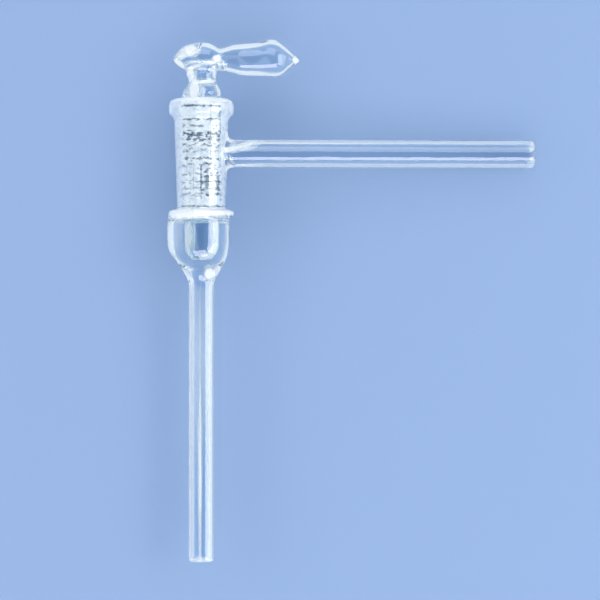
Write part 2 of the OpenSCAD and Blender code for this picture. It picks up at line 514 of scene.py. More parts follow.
@dataclass(frozen=True)
class GroundJoint:
    """The taper that the socket and the plug share. Sizes are in millimetres."""

    middle_diameter: float = 16.4
    taper: float = 0.1
    gap: float = 0.03
    bottom: float = -25.3
    foot: float = -21.3
    frost_bottom: float = -22.0
    frost_top: float = 20.5
    near: float = 0.06  # how far from the ground radius a face may lie
    port_r: float = 2.0
    port_half: float = 5.0

    def socket_r(self, z: float) -> float:
        """Give the socket's radius at a height."""
        return (self.middle_diameter + self.taper * z) / 2

    def plug_r(self, z: float) -> float:
        """Give the plug's radius at a height."""
        return self.socket_r(z) - self.gap

    def is_ground(self, p: Vector, radius: float) -> bool:
        """Say whether a point is on a ground face of this radius, and not in the drilled hole.

        Args:
            p: The point, in the barrel's frame.
            radius: The ground face's radius there.

        Returns:
            True on the frosted glass.
        """
        in_hole = p.x > 0 and math.hypot(p.y, p.z) < self.port_r
        on_face = abs(math.hypot(p.x, p.y) - radius) < self.near
        return on_face and self.frost_bottom < p.z < self.frost_top and not in_hole


@dataclass
class GlassPiece:
    """What the two pieces share: the ground joint and the kinds of finish."""

    joint: GroundJoint

    def dress(self, piece: bpy.types.Object, node: str, crossing: Vector) -> None:
        """Give a piece one material for each Face kind, in their order.

        Args:
            piece: The piece.
            node: The CAD node that it stands for, which also starts the materials' names.
            crossing: The crossing of the axes.
        """
        drawn = {"waviness": (420, 420, 420), "relief": 0.2, "cloud_grain": (1600, 50, 1600)}
        for finish in (
            Glass(f"{node}_blown", crossing, painted_highlights=BLOWN[node]),
            Glass(f"{node}_drawn", crossing, painted_highlights=DRAWN[node], **drawn),
            GroundGlass(f"{node}_ground", crossing),
        ):
            piece.data.materials.append(finish.material())


@dataclass
class Barrel(GlassPiece):
    """The ground barrel with its rim, bulb, side tube and lower tube. Millimetres, upright."""

    middle_r: float = 10.4
    slope: float = 0.033
    rim_r: float = 13.0
    rim_top: float = 21.8
    shoulder: float = -21.9
    shoulder_wall: float = 3.4
    bulb_r: float = 12.4
    bulb_hollow_r: float = 10.5
    bulb_lean: float = -1.2
    hollow_lean: float = -0.8
    lower_r: float = 5.0
    lower_bore: float = 3.0
    lower_end: float = -163.2
    side_r: float = 5.5
    side_bore: float = 4.0
    side_end: float = 133.8
    fillet_on_barrel: float = 8.2
    fillet_on_tube: float = 13.6
    funnel_end: float = 23.0
    patch_half: float = 9.0
    tube_wander: float = 0.05
    tube_fade: float = 20.0  # the length over which a tube's wander sets in
    bulb_fade: float = 6.0  # and the bulb's
    rim_fade: float = 3.0  # and the rim's
    bulb_length: float = 32.0  # from the shoulder down to the lower tube
    rim_from: tuple[float, float] = (10.9, 13.0)  # radius and height past which glass is the rim's
    bulb_wander: float = 0.16
    rim_wander: float = 0.06

    def outside_r(self, z: float) -> float:
        """Give the barrel's outside radius at a height."""
        return self.middle_r + self.slope * z

    def outline(self) -> list[Point]:
        """Draw the whole wall: outside from the rim down, then the inside back up.

        Returns:
            A closed outline of (radius, height).
        """
        outside, socket = self.outside_r, self.joint.socket_r
        top, shoulder, half = self.rim_top, self.shoulder, self.patch_half
        neck, waist, foot, port = top - 8.8, -20.6, self.joint.foot, self.joint.port_half
        rim = below(
            top, (socket(top) + 0.75, 0), (10.6, 0.05), (11.9, 0.75), (12.8, 2.1),
            (self.rim_r, 3.9), (12.75, 5.7), (12.0, 6.9), (11.35, 7.6), (outside(neck), 8.8),
        )  # fmt: skip
        wall = along(outside, (neck, 0), (half, 4), (-half, PATCH), (waist, 8))
        bulb = below(
            shoulder, (outside(shoulder) + 0.25, 0.1), (11.0, 0.6), (12.3, 1.0), (12.95, 1.7),
            (self.rim_r, 2.5), (12.75, 3.4), (12.5, 4.6), (self.bulb_r, 6.2), (self.bulb_r, 11.6),
            (12.3, 14.6), (11.9, 16.9), (11.1, 19.1), (9.9, 21.1), (8.7, 23.1), (7.6, 24.9),
            (6.5, 26.7), (5.6, 28.5), (5.15, 30.3), (self.lower_r, 32.5),
        )  # fmt: skip
        end, bore, inner = self.lower_end + LIP, self.lower_bore, self.bulb_hollow_r
        ceiling = shoulder - self.shoulder_wall
        bulb_inside = below(
            shoulder, (bore, 31), (bore + 0.45, 27.4), (4.7, 25.1), (6.5, 23.3), (8.3, 21.0),
            (9.8, 17.9), (inner - 0.15, 14.3), (inner, 10.0), (inner, 6.6),
        ) + below(
            ceiling, (inner - 0.5, 1.2), (inner - 1.6, 0.3), (socket(ceiling) + 0.7, 0.05),
            (socket(ceiling), -0.5),
        )  # fmt: skip
        mouth = below(
            top, (socket(top - 0.6), 0.6), (socket(top) + 0.25, 0.12), (socket(top) + 0.75, 0)
        )
        return joined(
            flowing(rim, 5),
            wall,
            flowing([(outside(waist), waist), *bulb], 4),
            straight(bulb[-1], (self.lower_r, end), 24),
            fire_polished(self.lower_r, bore, self.lower_end, 1),
            straight((bore, end), bulb_inside[0], 24),
            flowing(bulb_inside, 6),
            straight(bulb_inside[-1], (socket(foot), foot), 4),
            along(socket, (foot, 0), (-port, 8), (port, PATCH), (top - 0.6, 8)),
            flowing(mouth, 3),
        )[:-1]

    def grow_side_tube(self, shell: Shell) -> None:
        """Grow the side tube from the barrel's wall, and its bore from the socket.

        Args:
            shell: The turned barrel.
        """
        wall, between = self.middle_r, (self.middle_r + self.joint.socket_r(0)) / 2
        outer = shell.open_side(self.patch_half, between, outer=True)
        inner = shell.open_side(self.joint.port_half, between, outer=False)

        on_outside, on_socket = settled(self.outside_r), settled(self.joint.socket_r)
        start, crest = (
            lambda a, r=r: on_outside(ring(0, r)(a)) for r in (self.fillet_on_barrel, self.side_r)
        )
        outer = shell.grow_between(outer, start, 3, on_outside)
        finish = ring(self.fillet_on_tube, self.side_r)
        outer = shell.grow_bent(outer, (start, crest, finish), 10)
        end = self.side_end - LIP
        tube = straight((self.side_r, self.fillet_on_tube), (self.side_r, end), 24)[1:]
        lip = fire_polished(self.side_r, self.side_bore, self.side_end, -1)[1:-1]
        for radius, reach in tube + lip:
            outer = shell.grow(outer, ring(reach, radius))

        port, bore = self.joint.port_r, self.side_bore
        inner = shell.grow_between(inner, lambda a: on_socket(ring(0, port)(a)), 4, on_socket)
        funnel = [
            (self.joint.socket_r(0) + 0.6, port, port),
            (wall + 0.3, port, port),
            (wall + 0.9, port + 0.05, port + 0.6),
            (wall + 2.1, port + 0.15, port + 1.45),
            (wall + 3.8, port + 0.4, port + 1.85),
            (wall + 6.2, port + 0.9, bore),
            (wall + 9.4, port + 1.55, bore),
            (self.funnel_end, bore, bore),
        ]
        for section in flowing(funnel, 5) + straight((self.funnel_end, bore), (end, bore), 24)[1:]:
            inner = shell.grow(inner, ring(*section))
        shell.close(outer, inner)

    def lean(self, p: Vector, normal: Vector) -> Vector:
        """Lean the bulb to one side under its straight shoulder, as blown glass sets.

        Args:
            p: The vertex.
            normal: Its normal, which tells inside from outside.

        Returns:
            The sideways move.
        """
        top, full, still, end = self.shoulder - 2.0, self.shoulder - 5.6, -37.5, -46.0
        share = eased(p.z, top, full) * eased(p.z, end, still)
        return Vector((share * (self.hollow_lean if looks_in(p, normal) else self.bulb_lean), 0, 0))

    def wobble(self, p: Vector, normal: Vector) -> float:
        """Give the wander of the worked glass: nothing on ground faces, most in the bulb.

        Args:
            p: The vertex.
            normal: Its normal.

        Returns:
            How far it moves along its normal.
        """
        side, bulb, tube = self.fillet_on_tube + 4, self.shoulder - 5, self.shoulder - 33
        if p.x > side:
            fade = min(1.0, (p.x - side) / self.tube_fade)
            return self.tube_wander * fade * wander(Vector((p.x / 5, p.y, p.z)), scale=6, seed=3.1)
        if p.z < tube:
            fade = min(1.0, (tube - p.z) / self.tube_fade)
            return self.tube_wander * fade * wander(Vector((p.x, p.y, p.z / 5)), scale=6, seed=8.7)
        if p.z < bulb:
            fade = min(1.0, (bulb - p.z) / self.bulb_fade, (p.z - tube) / self.bulb_fade)
            most = self.bulb_wander if looks_in(p, normal) else self.tube_wander
            return most * fade * wander(p, scale=7, seed=5.3)
        if math.hypot(p.x, p.y) > self.rim_from[0] and p.z > self.rim_from[1]:
            fade = min(1.0, (self.rim_top - p.z) / self.rim_fade)
            return self.rim_wander * wander(p, scale=6, seed=1.9) * fade
        return 0.0

    def kind_of(self, p: Vector) -> Face:
        """Say which finish a face takes.

        Args:
            p: The face's middle.

        Returns:
            Its finish.
        """
        if p.x > self.fillet_on_tube or p.z < self.shoulder - self.bulb_length:
            return Face.DRAWN
        return Face.GROUND if self.joint.is_ground(p, self.joint.socket_r(p.z)) else Face.BLOWN

    def build(self, layout: Layout) -> bpy.types.Object:
        """Model the barrel.

        Args:
            layout: Where the part lies.

        Returns:
            The finished object.
        """
        shell = Shell()
        shell.spin(self.outline(), closed=True)
        self.grow_side_tube(shell)
        shell.face_outwards()
        shell.shift(self.lean)
        shell.ripple(self.wobble)
        shell.name_faces(self.kind_of)
        return shell.to_object("barrel_glass", layout)


@dataclass(frozen=True)
class KeyStation:
    """One section of the key across its length. Millimetres."""

    reach: float
    middle: float
    half_height: float
    half_depth: float


STATIONS = (
    (-11.1, 0.0, 0.25, 0.3), (-10.4, -0.2, 1.9, 1.7), (-8.4, 0.1, 3.7, 3.5), (-5.6, 0.5, 5.0, 4.9),
    (-1.0, 0.9, 5.7, 5.6), (2.6, 0.8, 5.6, 5.5), (5.0, 0.2, 5.2, 5.0), (7.2, -0.3, 4.5, 4.4),
    (9.4, -0.1, 4.7, 4.5), (12.4, 0.1, 5.5, 5.2), (16.0, -0.2, 6.2, 5.8), (23.0, 0.0, 6.7, 6.3),
    (27.4, 0.4, 7.4, 6.7), (30.2, 0.2, 7.2, 6.4), (32.4, -0.1, 5.9, 5.4), (34.8, -0.1, 3.9, 3.7),
    (37.4, -0.3, 2.0, 1.9), (39.3, -0.5, 0.3, 0.3),
)  # fmt: skip


@dataclass
class Plug(GlassPiece):
    """The hollow ground plug with its blown key. Millimetres, upright."""

    top: float = 21.0
    wall: float = 2.4
    dome_shift: float = 1.8
    neck_shift: float = 0.4
    bubble_shift: float = 0.5
    bottom: float = -42.7
    mouth_r: float = 3.0
    neck_r: float = 6.0
    neck_join: float = 31.6
    key_height: float = 37.8
    key_wall: float = 1.7
    key_patch: float = 7.6
    under: float = 62.0  # degrees each way from straight down that the neck's square covers
    squareness: float = 2.1  # 2 would be an ellipse
    hollow_from: float = -10.2
    hollow_to: float = 36.8
    lobe_extra: float = 2.6  # how much thicker the short lobe's wall is along its top
    floor_extra: float = 1.1  # and the key's wall over the neck
    root_extra: float = 2.6  # and more beside it, where the long lobe begins
    key_wander: float = 0.14
    tip_wander: float = 0.06
    hollow_wander: float = 0.05
    end_fade: float = 4.0  # the length over which the key's and the tip's wander set in
    key_from: float = 24.0  # the height past which the glass is the neck's and the key's
    dome_top: float = 27.6  # the height that the hollow's dome stays under
    even_half: float = 19.0  # how far from the port the hollow wanders
    port_edge: float = 4.0  # how near to the port's middle it stays still
    port_fade: float = 3.0
    run: list[tuple[float, ...]] = field(default_factory=lambda: flowing(STATIONS, 6))

    def hollow_r(self, z: float) -> float:
        """Give the hollow's radius at a height."""
        return self.joint.plug_r(z) - self.wall

    def outline(self) -> list[Point]:
        """Draw the plug's wall from the neck's top down its outside and up its hollow.

        Returns:
            An open outline of (radius, height) that ends on the axis.
        """
        outside, inner, mouth = self.joint.plug_r, self.hollow_r, self.mouth_r
        top, half, foot, bottom = self.top, self.joint.port_half, self.joint.foot, self.joint.bottom
        neck = [
            (self.neck_r, self.neck_join), (5.6, 30.2), (5.4, 29.0), (5.75, 27.9), (6.5, 26.7),
            (7.3, 25.0), (7.75, 23.2), (8.1, 22.0), (8.7, 21.3), (outside(top), top),
        ]  # fmt: skip
        low_r, hollow_r, hollow_end = outside(bottom), inner(bottom), inner(bottom) + 0.45
        low, high, narrow_from = self.bottom + low_r, self.bottom + low_r - 0.7, 14.0
        edge = low - math.sqrt(low_r**2 - (mouth + 0.55) ** 2)
        inner_edge = high - hollow_end * math.sqrt(1 - ((mouth + 0.5) / hollow_r) ** 2)
        hole = [
            (mouth + 0.55, edge), (mouth + 0.15, edge + 0.15), (mouth, edge + 0.55),
            (mouth + 0.05, edge + 1.1), (mouth + 0.5, inner_edge),
        ]  # fmt: skip
        dome = [
            (inner(narrow_from), narrow_from), (5.9, 16.2), (4.8, 18.2), (4.0, 20.2), (3.75, 22.2),
            (3.65, 24.2), (3.4, 25.7), (2.7, 26.7), (1.6, 27.1), (0.0, 27.2),
        ]  # fmt: skip
        return joined(
            flowing(neck, 5),
            along(outside, (top, 0), (half, 8), (-half, PATCH), (foot, 8), (bottom, 3)),
            straight((low_r, bottom), (low_r, low), 6),
            round_end(low_r, low_r, low, mouth + 0.55, 14),
            flowing(hole, 3),
            round_end(hollow_r, hollow_end, high, mouth + 0.5, 12)[::-1],
            straight((hollow_r, high), (hollow_r, bottom), 6),
            along(inner, (bottom, 0), (-half, 10), (half, PATCH), (narrow_from, 6)),
            flowing(dome, 6),
        )

    def lean(self, p: Vector, normal: Vector) -> Vector:
        """Lean the hollow's domed top, and less the neck round it, as blown glass sets.

        Args:
            p: The vertex.
            normal: Its normal, which tells inside from outside.

        Returns:
            The sideways move.
        """
        if (looks_in(p, normal) or normal.z < -0.5) and p.z < self.dome_top:
            return Vector((self.dome_shift * eased(p.z, 14.0, 20.0), 0, 0))
        return Vector((self.neck_shift * eased(p.z, 22.5, 26.0) * eased(p.z, 31.6, 29.0), 0, 0))

    def drill_port(self, shell: Shell) -> None:
        """Drill the side hole through the plug's wall.

        Args:
            shell: The turned plug.
        """
        between = (self.joint.plug_r(0) + self.hollow_r(0)) / 2
        hole, rims = ring(0, self.joint.port_r), []
        for outer, radius_at in ((True, self.joint.plug_r), (False, self.hollow_r)):
            settle = settled(radius_at)
            rim = shell.open_side(self.joint.port_half, between, outer)
            rims.append(shell.grow_between(rim, lambda a, s=settle: s(hole(a)), 4, settle))
        shell.close(*rims)

    def section(self, t: float) -> KeyStation:
        """Give the key's section part of the way along its smooth run.

        Args:
            t: Position, from 0 at the short tip to 1 at the long one.

        Returns:
            The section there.
        """
        at = min(max(t, 0.0), 1.0) * (len(self.run) - 1)
        i = min(int(at), len(self.run) - 2)
        part = at - i
        return KeyStation(*(a + (b - a) * part for a, b in zip(self.run[i], self.run[i + 1])))

    def position_of(self, reach: float) -> float:
        """Find how far along its run the key has a reach.

        Args:
            reach: Distance from the barrel's axis, towards the side tube.

        Returns:
            The share of the run, from 0 to 1.
        """
        low, high = 0.0, 1.0
        for _ in range(40):
            mid = (low + high) / 2
            if self.section(mid).reach < reach:
                low = mid
            else:
                high = mid
        return low

    def thickened(self, reach: float, upper: bool) -> float:
        """Give how much thicker than elsewhere the key's wall is, above or under its middle.

        Args:
            reach: Distance from the barrel's axis, towards the side tube.
            upper: Whether it is the wall above the middle.

        Returns:
            The extra thickness.
        """
        if upper:
            return self.lobe_extra * eased(reach, 0.2, -2.6)
        over_neck, root = eased(abs(reach - 0.5), 8.5, 5.0), eased(abs(reach - 6.6), 3.4, 0.8)
        return self.floor_extra * over_neck + self.root_extra * root

    def key_point(self, s: KeyStation, angle: float, wall: float) -> Vector:
        """Give a point of the key's skin.

        Args:
            s: The section.
            angle: Angle round the key, in degrees, from +Y up.
            wall: How far inside the outer skin.

        Returns:
            The point, in upright millimetres.
        """
        c, n = math.cos(math.radians(angle)), math.sin(math.radians(angle))
        thick, flat = self.thickened(s.reach, n > 0) * bool(wall), 2 / self.squareness
        y = powered(c, flat) * max(s.half_depth - wall, 0.15)
        z = powered(n, flat) * max(s.half_height - wall - thick, 0.15)
        return Vector((s.reach, y, self.key_height + s.middle + z))

    def ring_angles(self) -> list[float]:
        """Give the angles round a key ring, with a quarter of them across its underside.

        Returns:
            The angles in degrees, from the underside's left edge.
        """
        under, rest = self.under, SIDES - PATCH
        lower = [-90 - under + 2 * under * k / PATCH for k in range(PATCH + 1)]
        return lower + [-90 + under + (360 - 2 * under) * k / rest for k in range(1, rest)]

    def skin(self, positions: Sequence[float], wall: float) -> Shell:
        """Loft the key's skin through sections.

        Args:
            positions: Where the sections are along the key's run.
            wall: How far inside the outer skin.

        Returns:
            A closed shell.
        """
        shell = Shell()
        sections = [self.section(t) for t in positions]
        verts = bmesh.ops.create_circle(shell.bm, cap_ends=False, radius=1, segments=SIDES)["verts"]
        for v, a in zip(verts, self.ring_angles()):
            v[shell.turn] = a
            v.co = self.key_point(sections[0], a, wall)
        first = rim = shell.bm.edges[:]
        for s in sections[1:]:
            rim = shell.grow(rim, lambda a, s=s: self.key_point(s, a, wall))
        for loop, s in ((first, sections[0]), (rim, sections[-1])):
            ends = list({v for e in loop for v in e.verts})
            tip = Vector((s.reach, 0, self.key_height + s.middle))
            bmesh.ops.pointmerge(shell.bm, verts=ends, merge_co=tip)
        return shell

    def key_positions(self) -> list[float]:
        """Spread the key's sections, evenly across the patch that the neck grows from.

        Returns:
            Shares of the run, in order.
        """
        half = self.key_patch
        patch = [self.position_of(-half + 2 * half * k / PATCH) for k in range(PATCH + 1)]
        left, right = patch[0], self.position_of(half)
        short, long = 16, 56  # sections on each side of the patch
        before = [left * k / short for k in range(short)]
        return before + patch + [right + (1 - right) * k / long for k in range(1, long + 1)]

    def under_share(self, p: Vector) -> float:
        """Give how far round the key's underside a point is, from -1 to 1 across the square.

        Args:
            p: The point.

        Returns:
            The share.
        """
        s, power = self.section(self.position_of(p.x)), self.squareness / 2
        c = powered(p.y / max(s.half_depth, 0.1), power)
        n = powered((p.z - self.key_height - s.middle) / max(s.half_height, 0.1), power)
        return math.degrees(math.atan2(c, -n)) / self.under

    def join_key(self, shell: Shell) -> None:
        """Put the key on the plug's neck.

        Args:
            shell: The turned plug, whose neck is open at the top.
        """
        neck_rim = [e for e in shell.bm.edges if len(e.link_faces) == 1]
        shell.take_in(self.skin(self.key_positions(), 0.0))
        rim = shell.open_patch(
            lambda p: self.neck_join + 0.3 < p.z < self.key_height
            and abs(p.x) < self.key_patch
            and abs(self.under_share(p)) < 1,
            lambda p: square_turn(p.x / self.key_patch, self.under_share(p)),
        )
        start = {v[shell.turn]: v.co.copy() for e in rim for v in e.verts}
        crest, finish = (
            lambda a, wide=wide, deep=deep, up=up: Vector(
                (
                    (self.neck_r + wide) * math.cos(math.radians(a)),
                    (self.neck_r + deep) * math.sin(math.radians(a)),
                    self.neck_join + up,
                )
            )
            for wide, deep, up in ((0.15, -0.9, 2.1), (0, 0, 0))
        )
        shell.close(shell.grow_bent(rim, (start.get, crest, finish), 9), neck_rim)

    def add_hollows(self, shell: Shell) -> None:
        """Add the sealed hollow of the key and the bubble in its neck.

        Args:
            shell: The plug.
        """
        first, last = self.position_of(self.hollow_from), self.position_of(self.hollow_to)
        steps = 70
        inside = [first + (last - first) * k / steps for k in range(steps + 1)]
        shell.add_void(self.skin(inside, self.key_wall))
        outline = [
            (0.0, 33.75), (3.0, 33.7), (3.9, 33.45), (4.3, 32.8), (4.4, 31.4),
            (4.3, 30.0), (3.8, 29.25), (2.8, 29.0), (0.0, 28.95),
        ]  # fmt: skip
        bubble = Shell()
        bubble.spin(flowing(outline, 5), closed=False)
        bmesh.ops.translate(bubble.bm, vec=(self.bubble_shift, 0, 0), verts=bubble.bm.verts[:])
        shell.add_void(bubble)

    def wobble(self, p: Vector, normal: Vector) -> float:
        """Give the wander of the blown key and of the plug's hollow.

        Args:
            p: The vertex.
            normal: Its normal.

        Returns:
            How far it moves along its normal.
        """
        tip = self.joint.bottom - 1
        if p.z > self.key_from:
            fade = min(1.0, (p.z - self.key_from) / self.end_fade)
            return self.key_wander * fade * wander(p, scale=6.5, seed=2.7)
        if p.z < tip:
            fade = min(1.0, (tip - p.z) / self.end_fade)
            return self.tip_wander * fade * wander(p, scale=6, seed=4.1)
        if looks_in(p, normal) and abs(p.z) < self.even_half:
            off_port = (math.hypot(p.y, p.z) - self.port_edge) / self.port_fade
            return self.hollow_wander * wander(p, scale=8, seed=6.6) * max(0.0, min(1.0, off_port))
        return 0.0

    def kind_of(self, p: Vector) -> Face:
        """Say which finish a face takes."""
        return Face.GROUND if self.joint.is_ground(p, self.joint.plug_r(p.z)) else Face.BLOWN

    def build(self, layout: Layout) -> bpy.types.Object:
        """Model the plug.

        Args:
            layout: Where the part lies.

        Returns:
            The finished object.
        """
        shell = Shell()
        shell.spin(self.outline(), closed=False)
        self.drill_port(shell)
        self.join_key(shell)
        shell.face_outwards()
        shell.shift(self.lean)
        self.add_hollows(shell)
        shell.ripple(self.wobble)
        shell.name_faces(self.kind_of)
        return shell.to_object("plug_glass", layout)


# -------------------- Finishes --------------------


def operator(operation: str, reflected: bool = False) -> Callable[..., "Value"]:
    """Make a method that stands for an operator between two values.

    Args:
        operation: The Math node's operation.
        reflected: Whether the other value comes first.

    Returns:
        The method.
    """

    def method(self: "Value", other: "Value | float") -> "Value":
        """Add the Math node."""
        return self.maths(operation, *((other, self) if reflected else (self, other)))

    return method


class Value:
    """A shader value that can be used in plain arithmetic. A comparison gives 1 or 0."""

    def __init__(self, tree: "Nodes", socket: bpy.types.NodeSocket) -> None:
        """Wrap a socket of a node tree."""
        self.tree = tree
        self.socket = socket

    def maths(self, operation: str, *values: "Value | float") -> "Value":
        """Add a Math node."""
        return self.tree.add("ShaderNodeMath", {"operation": operation}, dict(enumerate(values)))

    __add__ = __radd__ = operator("ADD")
    __mul__ = __rmul__ = operator("MULTIPLY")
    __sub__ = operator("SUBTRACT")
    __rsub__ = operator("SUBTRACT", reflected=True)
    __truediv__ = operator("DIVIDE")
    __gt__ = operator("GREATER_THAN")
    __lt__ = operator("LESS_THAN")

    def __abs__(self) -> "Value":
        """Drop the sign."""
        return self.maths("ABSOLUTE", self)

    def clamped(self) -> "Value":
        """Keep the value between 0 and 1."""
        return self.maths("MAXIMUM", self.maths("MINIMUM", self, 1.0), 0.0)

    def risen(self, start: float, end: float) -> "Value":
        """Rise evenly from 0 to 1 between two values, in either direction."""
        gone = self - start if end > start else start - self
        return (gone / abs(end - start)).clamped()


class Nodes:
    """Builds the nodes of one material or world."""

    def __init__(self, tree: bpy.types.NodeTree) -> None:
        """Take over a node tree and clear it."""
        self.tree = tree
        tree.nodes.clear()

    def add(
        self,
        kind: str,
        settings: dict | None = None,
        inputs: dict | None = None,
        output: int | str = 0,
    ) -> Value:
        """Add any node.

        Args:
            kind: The node's type.
            settings: Its own settings, set before its sockets.
            inputs: Values or links of its sockets, by name or index.
            output: Which of its outputs to wrap.

        Returns:
            The chosen output.
        """
        node = self.tree.nodes.new(kind)
        for name, value in (settings or {}).items():
            if name == "stops":
                self._set_stops(node.color_ramp, value)
            else:
                setattr(node, name, value)
        for name, value in (inputs or {}).items():
            socket = node.inputs[name]
            if isinstance(value, Value):
                self.tree.links.new(value.socket, socket)
            else:
                socket.default_value = value
        return Value(self, node.outputs[output])

    @staticmethod
    def _set_stops(ramp: bpy.types.ColorRamp, stops: Sequence[tuple[float, Colour]]) -> None:
        """Set a ramp's stops.

        Args:
            ramp: The ramp.
            stops: The place and the colour of each.
        """
        while len(ramp.elements) < len(stops):
            ramp.elements.new(0.5)
        for element, (place, colour) in zip(ramp.elements, stops):
            element.position, element.color = place, colour

    def place(self) -> Value:
        """Give the place on the piece, in metres."""
        return self.add("ShaderNodeTexCoord", output="Object")

    def from_point(self, point: Vector) -> Value:
        """Give the place on the piece from a point, in metres.

        Args:
            point: The point.

        Returns:
            The vector from the point.
        """
        return self.add(
            "ShaderNodeVectorMath", {"operation": "SUBTRACT"}, {0: self.place(), 1: point}
        )

    def part(self, vector: Value, axis: str) -> Value:
        """Take the part of a vector along X, Y or Z."""
        return self.add("ShaderNodeSeparateXYZ", inputs={0: vector}, output=axis)

    def grain(
        self, place: Value, scale: Triple, detail: float, rough: float, finer: float = 1.0
    ) -> Value:
        """Add noise around 0.5.

        Args:
            place: Where it is read.
            scale: Features per metre along each axis.
            detail: How many finer layers it has.
            rough: How strong those are.
            finer: Makes all of it finer.

        Returns:
            The noise.
        """
        mapped = self.add("ShaderNodeMapping", inputs={"Vector": place, "Scale": scale})
        ins = {"Vector": mapped, "Scale": finer, "Detail": detail, "Roughness": rough}
        return self.add("ShaderNodeTexNoise", inputs=ins)

    def bump(self, height: Value, strength: float, distance: float) -> Value:
        """Turn a height into a normal."""
        ins = {"Strength": strength, "Distance": distance, "Height": height}
        return self.add("ShaderNodeBump", inputs=ins)

    def ray(self, question: str) -> Value:
        """Ask the Light Path node about the ray."""
        return self.add("ShaderNodeLightPath", output=question)

    def tinge(self, share: Value, one: "Value | Colour", other: "Value | Colour") -> Value:
        """Mix two colours."""
        ins = {0: share, 6: one, 7: other}
        return self.add("ShaderNodeMix", {"data_type": "RGBA"}, ins, output=2)

    def blend(self, share: Value, one: Value, other: Value) -> Value:
        """Mix two shaders."""
        return self.add("ShaderNodeMixShader", inputs={0: share, 1: one, 2: other})

    def finish(self, kind: str, shader: Value) -> None:
        """Link a shader to the output."""
        node = self.tree.nodes.new(kind)
        self.tree.links.new(shader.socket, node.inputs["Surface"])


def new_material(name: str) -> tuple[bpy.types.Material, Nodes]:
    """Make a material and take over its nodes.

    Args:
        name: The material's name.

    Returns:
        The material and its empty node tree.
    """
    made = bpy.data.materials.new(name)
    made.use_nodes = True
    return made, Nodes(made.node_tree)


def tinted(*levels: float) -> Colour:
    """Give a linear colour with full alpha from its red, green and blue display values of 255."""
    shares = [level / 255 for level in levels]
    return (*(s / 12.92 if s <= 0.04045 else ((s + 0.055) / 1.055) ** 2.4 for s in shares), 1.0)


@dataclass(frozen=True)
class Cloud:
    """A soft-edged oval place on the glass. Millimetres from the crossing of the axes.

    It lies across, towards the side tube's end, and along, towards the key, and a half size of
    WIDE has no end. It is turned in degrees, leftwards seen from above. The width of its soft
    edge is a share of its half sizes. It goes right through the part, unless half_lift says less.
    """

    across: float
    along: float
    half_across: float
    half_along: float
    share: float
    turned: float = 0.0
    soft: float = 0.4
    lift: float = 0.0
    half_lift: float = WIDE


def painted_highlights(*rows: Sequence[float]) -> tuple[Cloud, ...]:
    """Make the places of painted highlights from rows of their values."""
    return tuple(Cloud(*row) for row in rows)


# Painted highlights by piece: white patches standing in for light caught in the glass walls and
# ends, and for reflections
DRAWN = {
    "barrel": painted_highlights(
        (-0.8, -82.0, 6.2, 50.0, 0.15, 0, 1.2),  # a faint painted sheen in the lower tube
        (-0.5, -130.0, 1.0, 45.0, 0.35, 0, 0.7),  # and a painted highlight line along it
        (0, -163.4, WIDE, 2.6, 0.35, 0, 0.8),  # painted highlights on the tubes' fire-polished ends
        (134.4, 3.1, 4.0, 2.4, 0.35, 0, 0.8),
        (134.4, -3.3, 4.0, 2.3, 0.35, 0, 0.8),
        (17.4, 2.9, 8.0, 1.6, 0.5, 15, 0.8),  # a painted highlight on the seal over the side tube's bore
    ),
    "plug": (),
}
# Painted highlights on the blown glass: white patches standing in for light caught in thick walls
# and seams, and for reflections
BLOWN = {
    "barrel": painted_highlights(
        # the shoulder ring
        (-6.0, -24.2, 12.0, 2.6, 0.85), (7.0, -23.5, 11.0, 1.9, 0.85),
        # the rim
        (0, 21.3, WIDE, 1.5, 0.8), (-12.5, 17.6, 1.5, 4.4, 0.55), (12.5, 17.6, 1.5, 4.4, 0.55),
        # the side tube's root
        (11.4, 6.6, 2.9, 3.4, 0.9, 0, 0.4, 0, 8.0), (11.6, 1.4, 3.4, 1.4, 0.5, 15),
        # the bulb's thick foot
        (3.4, -48.2, 2.4, 2.6, 0.7), (6.4, -47.2, 1.5, 2.6, 0.6, -35),
        # under the side tube's root, and a faint painted reflection inside the bulb
        (11.4, -6.8, 2.9, 3.4, 0.8, 0, 0.4, 0, 8.0), (-8.9, -32.0, 1.5, 8.6, 0.12, 0, 0.8),
    ),
    "plug": painted_highlights(
        # the key's short lobe, and where it sits on the neck
        (-3.6, 41.0, 2.7, 2.6, 0.6), (-6.2, 40.2, 5.2, 2.0, 0.6, 33), (6.4, 37.6, 2.1, 1.8, 0.75),
        (-2.4, 34.5, 4.4, 0.9, 0.6, 16), (3.4, 35.8, 3.2, 0.9, 0.6),
        # the neck round its bubble
        (-4.3, 31.4, 1.7, 3.6, 0.85, -8), (-2.8, 25.6, 2.3, 5.4, 0.85),
        (1.8, 28.3, 5.2, 0.9, 0.8, 6), (5.6, 31.6, 1.0, 3.2, 0.8, 5),
        (7.1, 26.0, 1.0, 3.8, 0.8, 14),
        # the round end's walls
        (-5.2, -33.2, 2.0, 7.4, 1.0), (5.9, -31.3, 1.6, 7.0, 0.9), (4.3, -38.6, 3.8, 1.6, 0.9, 52),
        (1.2, -41.0, 3.0, 1.1, 0.85, 12),
        # the key's two tips
        (38.5, 37.4, 2.1, 2.3, 0.85), (-8.6, 35.7, 3.4, 1.3, 0.75, -40),
    ),
}  # fmt: skip


